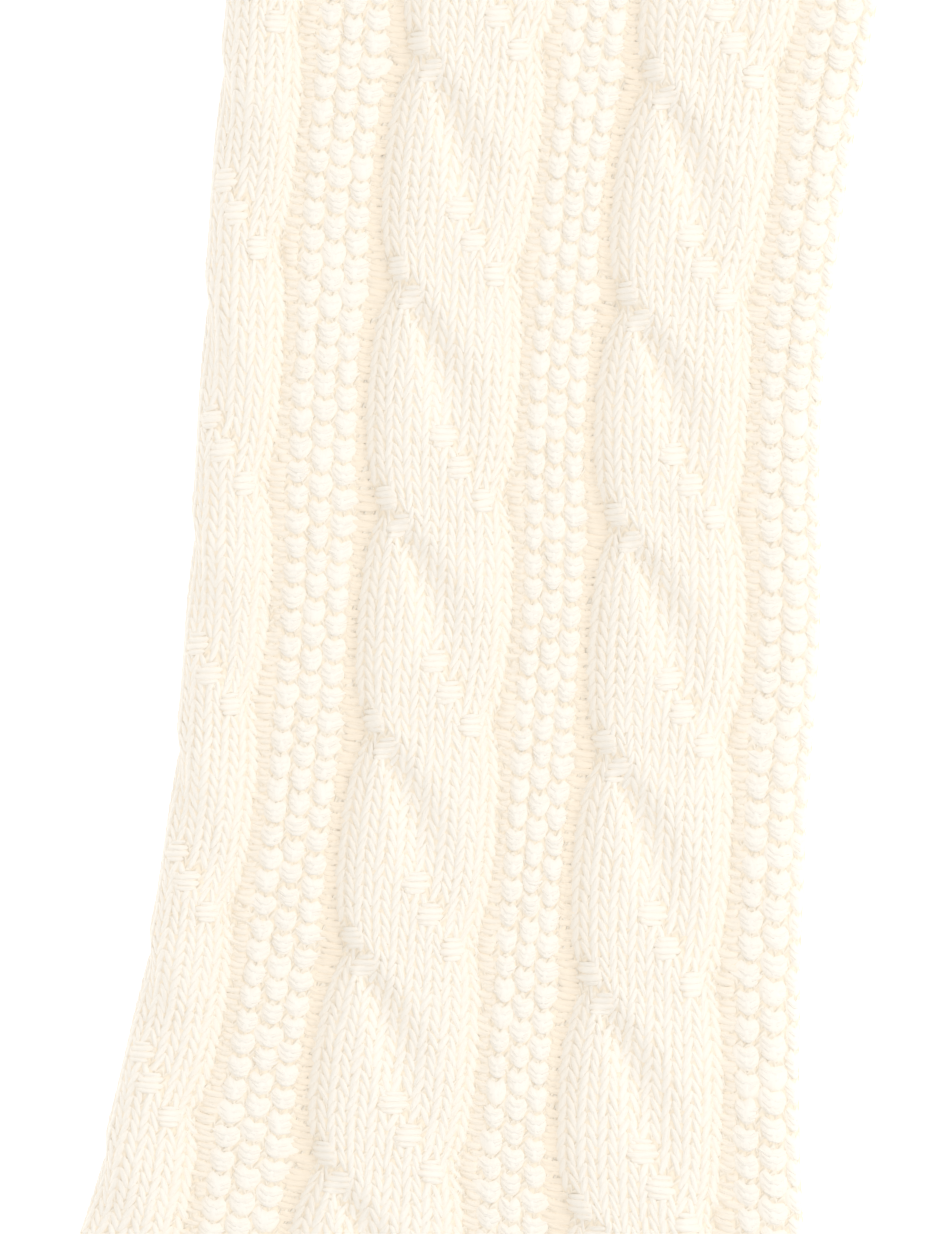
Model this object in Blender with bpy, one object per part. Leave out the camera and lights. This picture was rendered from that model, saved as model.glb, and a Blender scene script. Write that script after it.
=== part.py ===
"""A cable-knit knee sock, laid flat on its side.

Metres, +Z up. The sock rests on Z = 0: the leg runs along +Y, the toe points to -X and the heel to +X.
The origin is the middle of the sock's bounding box, on the floor. Every stretch of the sock is a wall of
knitted cloth, flattened so that its two layers lie on each other with a thin slit between them. The
cables, panels and ribs are raised in the upper layer's outer face. The underside rests flat.
"""

import math
from typing import NamedTuple

import bmesh
import bpy

MM = 0.001

# Knitting, in millimetres, rows and stitches (a course is a row, a wale is a column of stitches)
COURSE = 1.78
REPEAT_WALES = 14
REPEAT_COURSES = 18
COURSES_PER_RING = 3
FRONT_FOLD_WALE = 3.0
BACK_FOLD_WALE = 42.0
INSTEP_EDGE_WALE = 23.5
CUFF_RIBS = 10

# Lengths along the middle of the sock: the cuff in millimetres, the rest in courses
CUFF_LENGTH = 40.0
LEG_COURSES = 168
HEEL_COURSES = 36
FOOT_COURSES = 60

# Walls, in millimetres
UNDER_WALL = 2.8
SLIT = 0.6
GUTTER_WALL = 1.6
PANEL_WALL = 2.5
CABLE_WALL = 3.9
PLAIN_WALL = 2.4
RIB_WALL = 3.2
VALLEY_WALL = 1.9
TOE_SEAM_RIDGE = 0.8
GORE_GROOVE = 0.7
CUFF_RINGS = (0.0, 0.8, 2.4, 14.0, 27.0)
TOE_SEAM_ALONG = 538.5
TOE_STEPS = 7
TOE_END_RINGS = (3.5, 2.0, 0.8, 0.0)
SEAM_GAP = 0.3

# Folds, in millimetres, on a sock as wide as FULL_WIDTH; they shrink with it towards the toe
FULL_WIDTH = 85.0
FOLD_HEIGHT = 2.9
FOLD_ROUND = 5.2
UNDER_ROUND = 3.0
SLIT_INSET = 2.6
END_ROUND = 3.0
END_LOW = 0.3

CREAM = (0.93, 0.87, 0.76, 1.0)
WOOL_ROUGHNESS = 0.95


class Section(NamedTuple):
    """One line across the flat sock, from its front fold to its back fold, in millimetres."""

    place: str
    front_x: float
    front_y: float
    back_x: float
    back_y: float


# Zero here is a point at the ankle; the finished sock is moved to its own origin at the end
SECTIONS = (
    Section("cuff edge", -19.0, 241.5, 77.5, 230.5),
    Section("cuff foot", -24.5, 202.5, 74.5, 190.5),
    Section("calf", -30.5, 151.0, 68.5, 139.0),
    Section("below calf", -35.0, 93.0, 55.3, 82.7),
    Section("shin", -37.3, 64.8, 50.8, 53.9),
    Section("lower shin", -39.1, 34.7, 48.1, 27.1),
    Section("ankle", -40.8, 5.5, 48.2, -0.7),
    Section("below ankle", -42.9, -21.4, 46.3, -30.8),
    Section("instep top", -46.6, -46.8, 45.3, -62.2),
    Section("above heel", -51.2, -68.0, 46.2, -88.5),
    Section("heel start", -56.3, -88.0, 49.5, -113.0),
    Section("heel back", -60.8, -97.5, 51.0, -136.0),
    Section("heel point", -65.5, -105.3, 44.5, -159.5),
    Section("heel under", -70.5, -111.8, 25.5, -176.8),
    Section("heel end", -76.0, -117.2, 1.0, -187.0),
    Section("arch", -83.5, -122.8, -28.0, -196.5),
    Section("mid foot", -92.0, -127.2, -60.0, -206.8),
    Section("ball", -120.0, -137.4, -91.0, -218.0),
    Section("toe start", -150.0, -148.3, -121.5, -227.2),
    Section("toe middle", -159.5, -153.8, -133.0, -228.3),
    Section("toe round", -167.0, -161.5, -144.5, -227.0),
    Section("toe corner", -171.5, -171.0, -154.0, -222.5),
    Section("toe seam", -174.0, -183.0, -163.0, -215.5),
)

# Wales within the repeat that the plain inside has points on
INSIDE_WALES = (0.0, 4.5, 9.0, 11.5)

# Share of the width, from front fold to back fold, at which each wale lies
WALE_SHARES = (
    (3.0, 0.0),
    (5.0, 0.034),
    (9.0, 0.140),
    (14.0, 0.275),
    (23.0, 0.518),
    (28.0, 0.642),
    (37.0, 0.877),
    (42.0, 1.0),
)

# Height of a cable across its nine wales, one row for every three courses of the repeat. The low
# values slant down to the right, then on from the left edge: the breaks of a mock cable.
CABLE_COLUMNS = (0.0, 1.5, 3.0, 4.5, 6.0, 7.5, 9.0)
CABLE_CHART = (
    (0.0, 0.70, 0.52, 1.00, 0.98, 0.80, 0.0),
    (0.0, 0.78, 0.96, 1.00, 0.98, 0.80, 0.0),
    (0.0, 0.80, 1.00, 0.42, 0.98, 0.80, 0.0),
    (0.0, 0.78, 1.00, 0.96, 0.42, 0.70, 0.0),
    (0.0, 0.62, 0.98, 1.00, 0.88, 0.32, 0.0),
    (0.0, 0.32, 0.90, 1.00, 0.98, 0.62, 0.0),
)


class Pinch(NamedTuple):
    """How far a cable's two edges are pulled in at a chart row, in wales."""

    left: float
    right: float


PINCH_CHART = (
    Pinch(0.3, 0.0),
    Pinch(0.0, 0.0),
    Pinch(0.0, 0.3),
    Pinch(0.3, 0.9),
    Pinch(0.9, 0.8),
    Pinch(0.8, 0.3),
)
# Height of a cuff rib across its share of the width
RIB_CHART = ((0.18, 0.0), (0.34, 1.0), (0.72, 1.0), (0.88, 0.0))
# Height of a seed-stitch panel over its gutters, by the wale within the repeat: three rounded columns
PANEL_CHART = ((9.0, 0.0), (10.0, 0.9), (10.75, 0.45), (11.5, 1.0), (12.25, 0.45), (13.0, 0.9), (14.0, 0.0))


class Column(NamedTuple):
    """One lengthwise line round the sock's wall."""

    layer: str  # "top" or "under"
    half: str  # "front", knitted on down the instep, or "back", turned for the heel
    share: float  # of the width, from the front fold
    wale: float = 0.0
    crest: float = 0.0  # height of a cuff rib, from 0 to 1
    inset: float = 0.0  # moved in from the front fold, or out from the back fold, in millimetres
    inside: bool = True  # whether the plain inside has a point on this line


class Ring(NamedTuple):
    """One line round the sock at a distance along its middle."""

    along: float
    course: float
    stretch: str  # cuff, leg, ankle, foot or toe
    inside: bool = True


def ramp(table, value):
    """Read a two-column table at a value, in straight lines between its rows."""
    for (low, at_low), (high, at_high) in zip(table, table[1:]):
        if value <= high:
            return at_low + (at_high - at_low) * (value - low) / (high - low)
    return table[-1][1]


def section_stations():
    """Distance of each section along the middle of the sock, from the cuff's edge."""
    stations = [0.0]
    for last, this in zip(SECTIONS, SECTIONS[1:]):
        step_x = (this.front_x + this.back_x - last.front_x - last.back_x) / 2
        step_y = (this.front_y + this.back_y - last.front_y - last.back_y) / 2
        stations.append(stations[-1] + math.hypot(step_x, step_y))
    return stations


STATIONS = section_stations()


def smooth_reading(values, along):
    """Read a column of the section table at a distance along the sock, on a smooth curve."""
    steps = [b - a for a, b in zip(STATIONS, STATIONS[1:])]
    rates = [(b - a) / step for a, b, step in zip(values, values[1:], steps)]
    slopes = [rates[0]]
    for step, next_step, rate, next_rate in zip(steps, steps[1:], rates, rates[1:]):
        slopes.append((rate * next_step + next_rate * step) / (step + next_step))
    slopes.append(rates[-1])
    cell = 0
    while cell < len(steps) - 1 and STATIONS[cell + 1] < along:
        cell += 1
    step = steps[cell]
    t = (along - STATIONS[cell]) / step
    return (
        (2 * t**3 - 3 * t**2 + 1) * values[cell]
        + (t**3 - 2 * t**2 + t) * step * slopes[cell]
        + (3 * t**2 - 2 * t**3) * values[cell + 1]
        + (t**3 - t**2) * step * slopes[cell + 1]
    )


def fold_points(along):
    """The front and the back fold of the flat sock at a distance along it."""
    columns = list(zip(*(section[1:] for section in SECTIONS)))
    front_x, front_y, back_x, back_y = (smooth_reading(column, along) for column in columns)
    return (front_x, front_y), (back_x, back_y)


def roundness(distance, radius):
    """0 at a fold's edge and 1 a radius in from it, on a quarter circle."""
    left = 1 - min(distance / radius, 1.0)
    return math.sqrt(1 - left * left)


def chart_row(course):
    """The row of the cable chart for a course, counted from the leg's top."""
    return round((course % REPEAT_COURSES) / COURSES_PER_RING) % len(CABLE_CHART)


def patterned_wall(wale, course):
    """Thickness of the wall where it is knitted in cables and panels."""
    within = wale % REPEAT_WALES
    if within <= CABLE_COLUMNS[-1]:
        chart = list(zip(CABLE_COLUMNS, CABLE_CHART[chart_row(course)]))
        return GUTTER_WALL + (CABLE_WALL - GUTTER_WALL) * ramp(chart, within)
    return GUTTER_WALL + (PANEL_WALL - GUTTER_WALL) * ramp(PANEL_CHART, within)


def upper_wall(ring, column):
    """Thickness of the upper layer at a ring and a column."""
    if ring.stretch == "cuff":
        return VALLEY_WALL + (RIB_WALL - VALLEY_WALL) * column.crest
    if ring.stretch == "toe":
        return PLAIN_WALL + (TOE_SEAM_RIDGE if ring.along == TOE_SEAM_ALONG else 0.0)
    if ring.stretch == "foot" and column.half == "back":
        return PLAIN_WALL
    if ring.stretch == "ankle" and column.half == "back":
        on_gore = ring.course == LEG_COURSES + HEEL_COURSES / 2
        return PLAIN_WALL - (GORE_GROOVE if on_gore else 0.0)
    return patterned_wall(column.wale, ring.course)


def pinched_share(ring, column):
    """The column's share of the width, drawn in where a cable's break pulls the cable's edges."""
    patterned = ring.stretch == "leg" or (ring.stretch in ("ankle", "foot") and column.half == "front")
    within = column.wale % REPEAT_WALES
    if column.layer == "top" and patterned and column.wale not in (FRONT_FOLD_WALE, BACK_FOLD_WALE):
        pinch = PINCH_CHART[chart_row(ring.course)]
        if within == CABLE_COLUMNS[0]:
            return ramp(WALE_SHARES, column.wale + pinch.left)
        if within == CABLE_COLUMNS[-1]:
            return ramp(WALE_SHARES, column.wale - pinch.right)
    return column.share


def plan_point(ring, across):
    """The point on a ring's line at a distance from its front fold, as seen from above."""
    front, back = fold_points(ring.along)
    width = math.dist(front, back)
    return tuple(a + (b - a) * across / width for a, b in zip(front, back))


def outer_point(ring, column):
    """The wall's outer face."""
    width = math.dist(*fold_points(ring.along))
    scale = min(1.0, width / FULL_WIDTH)
    across = pinched_share(ring, column) * width + column.inset * scale
    from_fold = min(across, width - across)
    if column.layer == "under":
        height = FOLD_HEIGHT * (1 - roundness(from_fold, UNDER_ROUND * scale))
    else:
        end = min(ring.along, STATIONS[-1] - ring.along)
        rounding = END_LOW + (1 - END_LOW) * roundness(end, END_ROUND)
        full = UNDER_WALL + SLIT + upper_wall(ring, column) - FOLD_HEIGHT
        height = FOLD_HEIGHT + full * rounding * roundness(from_fold, FOLD_ROUND * scale)
    return (*plan_point(ring, across), height)


def inner_point(ring, column):
    """The wall's plain inner face, round a thin slit that ends short of both folds."""
    width = math.dist(*fold_points(ring.along))
    scale = min(1.0, width / FULL_WIDTH)
    inset = SLIT_INSET * scale
    across = column.share * width + column.inset * scale
    if column.layer == "top" and column.share in (0.0, 1.0):
        height = UNDER_WALL + SLIT / 2
    else:
        height = UNDER_WALL + (SLIT if column.layer == "top" else 0.0)
    return (*plan_point(ring, min(max(across, inset), width - inset)), height)


def under_columns():
    """Lines along the underside, from the back fold to the front fold."""
    edge = ramp(WALE_SHARES, INSTEP_EDGE_WALE)
    half_gap = SEAM_GAP / 2
    return [
        Column("under", "back", 1.0, inset=-UNDER_ROUND / 3, inside=False),
        Column("under", "back", 1.0, inset=-UNDER_ROUND),
        Column("under", "back", 0.75),
        Column("under", "back", edge, inset=half_gap),
        Column("under", "front", edge, inset=-half_gap),
        Column("under", "front", 0.25),
        Column("under", "front", 0.0, inset=UNDER_ROUND),
        Column("under", "front", 0.0, inset=UNDER_ROUND / 3, inside=False),
    ]


def body_wales():
    """The wales, fold to fold over the top, at which the pattern's height changes."""
    wales = []
    for repeat in range(4):
        first = repeat * REPEAT_WALES
        wales += [first + within for within in CABLE_COLUMNS]
        wales += [first + within for within, _ in PANEL_CHART[1:-1]]
    between = [wale for wale in wales if FRONT_FOLD_WALE < wale < BACK_FOLD_WALE]
    return [FRONT_FOLD_WALE, *between, BACK_FOLD_WALE]


def body_columns():
    """Lines round the leg, heel, foot and toe, first over the top from fold to fold."""
    wales = body_wales()
    top = [
        Column(
            "top",
            "back" if wale > INSTEP_EDGE_WALE else "front",
            ramp(WALE_SHARES, wale),
            wale,
            inside=wale % REPEAT_WALES in INSIDE_WALES or wale in (FRONT_FOLD_WALE, BACK_FOLD_WALE),
        )
        for wale in wales
    ]
    edge = ramp(WALE_SHARES, INSTEP_EDGE_WALE)
    half_gap = SEAM_GAP / 2
    seam = [
        Column("top", "front", edge, INSTEP_EDGE_WALE, inset=-half_gap),
        Column("top", "back", edge, INSTEP_EDGE_WALE, inset=half_gap),
    ]
    first_back = sum(column.half == "front" for column in top)
    return top[:first_back] + seam + top[first_back:] + under_columns()


def cuff_columns():
    """Lines round the cuff: four to a rib over the top, then the underside."""
    columns = [Column("top", "front", 0.0)]
    for rib in range(CUFF_RIBS):
        for step, crest in RIB_CHART:
            share = (rib + step) / CUFF_RIBS
            half = "front" if share < ramp(WALE_SHARES, INSTEP_EDGE_WALE) else "back"
            columns.append(Column("top", half, share, crest=crest, inside=step == RIB_CHART[1][0]))
    return [*columns, Column("top", "back", 1.0), *under_columns()]


def along_course(course):
    """Distance along the sock of a course counted from the leg's top."""
    return CUFF_LENGTH + course * COURSE


def cuff_rings():
    """Rings of the cuff, close together where its edge rounds over."""
    return [Ring(along, 0.0, "cuff") for along in (*CUFF_RINGS, CUFF_LENGTH - SEAM_GAP)]


def body_rings():
    """Rings of the leg, the ankle with its heel, the foot and the toe."""
    heel_end = LEG_COURSES + HEEL_COURSES
    foot_end = heel_end + FOOT_COURSES
    rings = [
        Ring(along_course(course), course, "leg", inside=course % (2 * COURSES_PER_RING) == 0)
        for course in range(0, LEG_COURSES + 1, COURSES_PER_RING)
    ]
    rings.append(Ring(along_course(LEG_COURSES) + SEAM_GAP, LEG_COURSES, "ankle"))
    for course in range(LEG_COURSES + COURSES_PER_RING, heel_end, COURSES_PER_RING):
        rings.append(Ring(along_course(course), course, "ankle"))
    rings.append(Ring(along_course(heel_end) - SEAM_GAP, heel_end, "ankle"))
    for course in range(heel_end, foot_end + 1, COURSES_PER_RING):
        rings.append(Ring(along_course(course), course, "foot", inside=course % (2 * COURSES_PER_RING) == 0))
    toe_start = along_course(foot_end) + SEAM_GAP
    toe_step = (TOE_SEAM_ALONG - toe_start) / TOE_STEPS
    for step in range(TOE_STEPS):
        rings.append(Ring(toe_start + step * toe_step, foot_end, "toe"))
    rings.append(Ring(TOE_SEAM_ALONG, foot_end, "toe"))
    for before_end in TOE_END_RINGS:
        rings.append(Ring(STATIONS[-1] - before_end, foot_end, "toe", inside=False))
    return rings


def owner(ring, next_ring, column, next_column):
    """The node that a cell of the wall belongs to, or None in the gap between two nodes."""
    half = column.half if column.half == next_column.half else None
    stretches = (ring.stretch, next_ring.stretch)
    if stretches in (("leg", "ankle"), ("foot", "toe")):
        return None
    if stretches == ("ankle", "foot"):
        return "foot" if half == "front" else None
    if ring.stretch == "ankle":
        return {"front": "foot", "back": "heel"}.get(half)
    return ring.stretch


class Wall:
    """A closed wall of cloth built from the cells of a grid of rings and columns."""

    def __init__(self, node, rings, columns):
        self.node = node
        self.rings = rings
        self.columns = columns
        self.mesh = bmesh.new()
        self.outer = {}
        self.inner = {}
        self.ring_steps = self._steps([ring.inside for ring in rings], closed=False)
        self.column_steps = self._steps([column.inside for column in columns], closed=True)

    @staticmethod
    def _steps(inside, closed):
        """Pair each line that the inside has with the next one."""
        places = [place for place, there in enumerate(inside) if there]
        if closed:
            places.append(places[0] + len(inside))
        return list(zip(places, places[1:]))

    def _vertex(self, known, point_of, ring, column):
        """The mesh's vertex at a ring and a column, made when it is first asked for."""
        key = (ring, column % len(self.columns))
        if key not in known:
            point = point_of(self.rings[ring], self.columns[key[1]])
            known[key] = self.mesh.verts.new([value * MM for value in point])
        return known[key]

    def _out(self, ring, column):
        return self._vertex(self.outer, outer_point, ring, column)

    def _in(self, ring, column):
        return self._vertex(self.inner, inner_point, ring, column)

    def _owned(self, ring_step, column_step):
        """Whether this node has the cell between two steps, by their numbers."""
        if not 0 <= ring_step < len(self.ring_steps):
            return False
        ring, next_ring = self.ring_steps[ring_step]
        column, next_column = self.column_steps[column_step % len(self.column_steps)]
        count = len(self.columns)
        cell = owner(
            self.rings[ring],
            self.rings[next_ring],
            self.columns[column % count],
            self.columns[next_column % count],
        )
        return cell == self.node

    def _skin(self, rings, columns):
        """Outer faces over a run of rings and columns."""
        for ring in range(*rings):
            for column in range(*columns):
                corners = [(ring, column), (ring, column + 1), (ring + 1, column + 1), (ring + 1, column)]
                self.mesh.faces.new([self._out(*corner) for corner in corners])

    def add_cells(self):
        """Both faces of every cell, and a wall's edge wherever the node stops."""
        for r, (ring, next_ring) in enumerate(self.ring_steps):
            for c, (column, next_column) in enumerate(self.column_steps):
                if not self._owned(r, c):
                    continue
                self._skin((ring, next_ring), (column, next_column))
                around = [(ring, column), (next_ring, column), (next_ring, next_column), (ring, next_column)]
                self.mesh.faces.new([self._in(*corner) for corner in around])
                across = range(column, next_column + 1)
                down = range(ring, next_ring + 1)
                if not self._owned(r - 1, c):
                    self._edge([(ring, place) for place in across])
                if not self._owned(r + 1, c) and not self._closes(r):
                    self._edge([(next_ring, place) for place in across])
                if not self._owned(r, c - 1):
                    self._edge([(place, column) for place in down])
                if not self._owned(r, c + 1):
                    self._edge([(place, next_column) for place in down])

    def _edge(self, line):
        """The wall's thickness along a line of its outer points."""
        outer = [self._out(*place) for place in line]
        self.mesh.faces.new([*outer, self._in(*line[-1]), self._in(*line[0])])

    def _closes(self, ring_step):
        """Whether the wall goes on past this step as the closed end of the toe."""
        return self.node == "toe" and ring_step == len(self.ring_steps) - 1

    def add_closed_end(self):
        """The toe's end: outer faces on to the last ring, and a cap inside and out."""
        last_inside = self.ring_steps[-1][1]
        last = len(self.rings) - 1
        count = len(self.columns)
        self._skin((last_inside, last), (0, count))
        self.mesh.faces.new([self._out(last, column) for column in range(count)])
        inside = [column for column, _ in self.column_steps]
        self.mesh.faces.new([self._in(last_inside, column) for column in inside])

    def finish(self, material, shift):
        """Turn the faces outwards and make the named object, at the origin."""
        bmesh.ops.recalc_face_normals(self.mesh, faces=self.mesh.faces)
        bmesh.ops.triangulate(self.mesh, faces=[face for face in self.mesh.faces if len(face.verts) > 4])
        bmesh.ops.translate(self.mesh, verts=self.mesh.verts, vec=shift)
        data = bpy.data.meshes.new(self.node)
        self.mesh.to_mesh(data)
        self.mesh.free()
        data.shade_smooth()
        data.materials.append(material)
        bpy.context.scene.collection.objects.link(bpy.data.objects.new(self.node, data))


def cream_wool():
    """Undyed wool: pale cream and matt."""
    material = bpy.data.materials.new("cream_wool")
    material.use_nodes = True
    shader = material.node_tree.nodes["Principled BSDF"]
    shader.inputs["Base Color"].default_value = CREAM
    shader.inputs["Roughness"].default_value = WOOL_ROUGHNESS
    shader.inputs["Metallic"].default_value = 0.0
    return material


def main():
    """Build the sock's five stretches round one origin."""
    for item in list(bpy.data.objects):
        bpy.data.objects.remove(item)
    material = cream_wool()
    body = (body_rings(), body_columns())
    walls = [Wall("cuff", cuff_rings(), cuff_columns())]
    walls += [Wall(node, *body) for node in ("leg", "heel", "foot", "toe")]
    for wall in walls:
        wall.add_cells()
        if wall.node == "toe":
            wall.add_closed_end()
    points = [vertex.co for wall in walls for vertex in wall.mesh.verts]
    middle = [(min(p[axis] for p in points) + max(p[axis] for p in points)) / 2 for axis in (0, 1)]
    for wall in walls:
        wall.finish(material, (-middle[0], -middle[1], 0.0))


main()
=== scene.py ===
import logging
import math
from dataclasses import dataclass, field
from enum import Enum

import bpy
import numpy as np
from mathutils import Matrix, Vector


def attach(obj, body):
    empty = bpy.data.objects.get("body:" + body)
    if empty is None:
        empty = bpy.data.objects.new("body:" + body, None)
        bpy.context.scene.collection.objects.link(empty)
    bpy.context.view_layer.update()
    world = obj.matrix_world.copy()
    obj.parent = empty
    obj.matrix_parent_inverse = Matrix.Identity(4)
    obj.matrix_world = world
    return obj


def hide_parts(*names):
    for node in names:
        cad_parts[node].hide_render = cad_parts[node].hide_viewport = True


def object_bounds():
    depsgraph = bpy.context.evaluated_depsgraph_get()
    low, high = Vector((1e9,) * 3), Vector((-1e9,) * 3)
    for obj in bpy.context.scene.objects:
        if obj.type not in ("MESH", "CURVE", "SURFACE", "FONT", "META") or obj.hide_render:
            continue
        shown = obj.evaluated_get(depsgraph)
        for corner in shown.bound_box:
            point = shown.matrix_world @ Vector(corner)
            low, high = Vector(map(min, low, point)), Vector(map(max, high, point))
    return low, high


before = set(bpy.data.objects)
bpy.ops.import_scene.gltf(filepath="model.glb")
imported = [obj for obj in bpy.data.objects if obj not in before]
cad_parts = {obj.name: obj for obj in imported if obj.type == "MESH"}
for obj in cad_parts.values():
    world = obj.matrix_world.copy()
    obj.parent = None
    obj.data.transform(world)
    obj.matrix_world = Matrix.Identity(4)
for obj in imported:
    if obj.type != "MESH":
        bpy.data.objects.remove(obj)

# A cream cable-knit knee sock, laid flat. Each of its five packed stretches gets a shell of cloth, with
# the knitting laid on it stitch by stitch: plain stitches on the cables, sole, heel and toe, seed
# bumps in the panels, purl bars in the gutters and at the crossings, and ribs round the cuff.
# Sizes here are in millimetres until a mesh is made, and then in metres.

CAD_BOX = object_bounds()
LOG = logging.getLogger("knee_sock")
MM = 0.001
BODY = "root"

# Knitting: a course is a row of stitches and a wale is a column of them
COURSE = 1.78
WALE = 2.6
PLAIN_WALE = 2.4
REPEAT_WALES = 13
REPEAT_COURSES = 18
CABLE_WALES = 8
FRONT_FOLD = 2.67
BACK_FOLD = 39.0
INSTEP_EDGE = 21.5
CUFF_END = 40.0
LEG_STEPS = 168  # courses of the leg, the heel and the foot past the heel
GORE_STEPS = 36
FOOT_STEPS = 60
LEG_END = CUFF_END + LEG_STEPS * COURSE
HEEL_END = LEG_END + GORE_STEPS * COURSE
FOOT_END = HEEL_END + FOOT_STEPS * COURSE
CUFF_RIBS = 10
RIB_UNIT = 0.235  # one wale as a share of a rib and its valley
CABLE_STARTS = (0, 13, 26)  # first wales of the cables on top

# Walls and folds of the flat tube
UNDER_WALL = 2.8
SLIT = 0.6
GUTTER_WALL = 1.6
PANEL_WALL = 2.5
CABLE_WALL = 4.3
PLAIN_WALL = 2.4
RIB_WALL = 3.2
VALLEY_WALL = 1.9
FULL_WIDTH = 85.0
FOLD_HEIGHT = 2.9
FOLD_ROUND = 5.2
FOLD_ARC = 7.5
TUCK_ROUND = 3.0
TUCK_ARC = 4.6
END_ROUND = 3.0
END_WALL = 0.3  # share of the wall's rise that is left at an open or closed end
FOLD_BULGE = 0.5  # how much of the wall's rise and fall shows in the outline at a fold
FRONT_REST = 3.7
BACK_REST = 1.4
YARN_DEPTH = 0.24  # how far the shell lies under the tops of the stitches
# painted shade: grains are coloured darker and more orange towards their edges, where they dip into the
# cloth
EDGE_SHADE = 0.6  # how much warmer a grain is at its edge than at its top
SHELL_WALL = 1.1
MERGE = 0.02
TINY = 0.02  # how near a stitch may come to the table, or to the sock's end
VIEW_CENTRE = (0.04825, -0.00661)  # middle of the photograph's view, in metres


@dataclass(frozen=True)
class Section:
    """One line across the flat sock, from its front fold to its back fold."""

    place: str
    front_x: float
    front_y: float
    back_x: float
    back_y: float


SECTIONS = (
    Section("cuff edge", -19.0, 241.5, 77.5, 230.5),
    Section("cuff foot", -24.5, 202.5, 74.5, 190.5),
    Section("calf", -30.5, 151.0, 69.3, 139.0),
    Section("below calf", -35.0, 93.0, 56.4, 82.7),
    Section("shin", -37.3, 64.8, 51.9, 53.9),
    Section("lower shin", -39.1, 34.7, 49.2, 27.1),
    Section("ankle", -40.8, 5.5, 49.2, -0.7),
    Section("below ankle", -42.9, -21.4, 47.2, -30.8),
    Section("instep top", -46.6, -46.8, 46.2, -62.2),
    Section("above heel", -51.2, -68.0, 46.9, -88.5),
    Section("heel start", -56.3, -88.0, 49.5, -113.0),
    Section("heel back", -60.8, -97.5, 51.0, -136.0),
    Section("heel point", -65.5, -105.3, 44.5, -159.5),
    Section("heel under", -70.5, -111.8, 25.5, -176.8),
    Section("heel end", -76.0, -117.2, 1.0, -187.0),
    Section("arch", -83.5, -122.8, -28.0, -196.5),
    Section("mid foot", -92.0, -127.2, -60.0, -206.8),
    Section("ball", -120.0, -137.4, -91.0, -218.0),
    Section("toe start", -150.0, -148.3, -121.5, -227.2),
    Section("toe middle", -159.5, -153.8, -133.0, -228.3),
    Section("toe round", -167.0, -161.5, -144.5, -227.0),
    Section("toe corner", -171.5, -171.0, -154.0, -222.5),
    Section("toe seam", -174.0, -183.0, -163.0, -215.5),
)

# Share of the flat width, from the front fold, at which a wale lies
WALE_SHARES = (
    (8.0, 0.132),
    (13.0, 0.266),
    (21.0, 0.514),
    (26.0, 0.632),
    (34.0, 0.884),
)

# Where the edge of the strand on top runs, in courses past the left notch and in wales: slanting, then
# steep over the middle, then slanting again to the right notch
STRAND_EDGE = (
    (0.0, -0.3),
    (0.6, 0.7),
    (2.3, 1.6),
    (3.8, 2.4),
    (7.5, 3.3),
    (11.6, 4.1),
    (14.0, 5.0),
    (16.4, 6.5),
    (18.0, 8.2),
)

# The strand behind it, by courses past the left notch: how deep it dips, over how many wales it goes
# down, and over how many it comes up again
DIP_DEPTH = ((0.0, 0.0), (3.0, 0.85), (6.0, 1.0), (10.0, 0.8), (14.0, 0.4), (17.0, 0.0))
DIP_FALL = ((0.0, 0.7), (3.0, 0.9), (9.0, 1.7), (18.0, 2.0))
DIP_RISE = ((0.0, 0.9), (4.0, 1.1), (9.0, 1.7), (18.0, 2.0))

# The strand on top where it comes over the left edge: how far it stands out, and where its edge runs
OVER_SHARE = ((-4.0, 0.0), (0.0, 1.0), (4.0, 0.6), (8.0, 0.0))
OVER_EDGE = ((-4.0, -2.0), (0.0, -0.5), (0.6, 0.7), (2.3, 1.6), (3.8, 2.4), (8.0, 3.4))

# How much a notch pulls, by courses from it, and by wales for the right and the left notch
NOTCH_FADE = ((0.0, 1.0), (0.6, 0.88), (1.6, 0.62), (2.9, 0.35), (4.3, 0.17), (6.2, 0.06), (9.0, 0.0))
RIGHT_PULL = ((0.0, 0.0), (2.7, 0.02), (5.3, 0.3), (7.1, 0.75), (8.0, 1.0), (8.75, 0.0))
LEFT_PULL = ((-0.75, 0.0), (0.0, 1.0), (0.9, 0.75), (2.7, 0.3), (5.3, 0.0))
RIGHT_FILL = ((7.8, 0.0), (8.4, 1.0), (9.2, 0.0))
LEFT_FILL = ((-1.2, 0.0), (-0.4, 1.0), (0.2, 0.0))

# Height of a panel by wales, with its three columns of bumps, and of the cuff by shares of a rib
PANEL_COLUMNS = (
    (8.0, 0.0),
    (8.6, 0.4),
    (9.25, 0.95),
    (9.9, 0.7),
    (10.6, 1.0),
    (11.25, 0.7),
    (11.9, 0.95),
    (12.5, 0.5),
    (13.0, 0.0),
)
RIB_CREST = ((0.12, 0.0), (0.3, 1.0), (0.74, 1.0), (0.92, 0.0))


def read_table(table: tuple[tuple[float, float], ...], at: np.ndarray) -> np.ndarray:
    """Read a table of pairs at any place, in straight lines from row to row."""
    places, values = np.array(table).T
    return np.interp(at, places, values)


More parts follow.
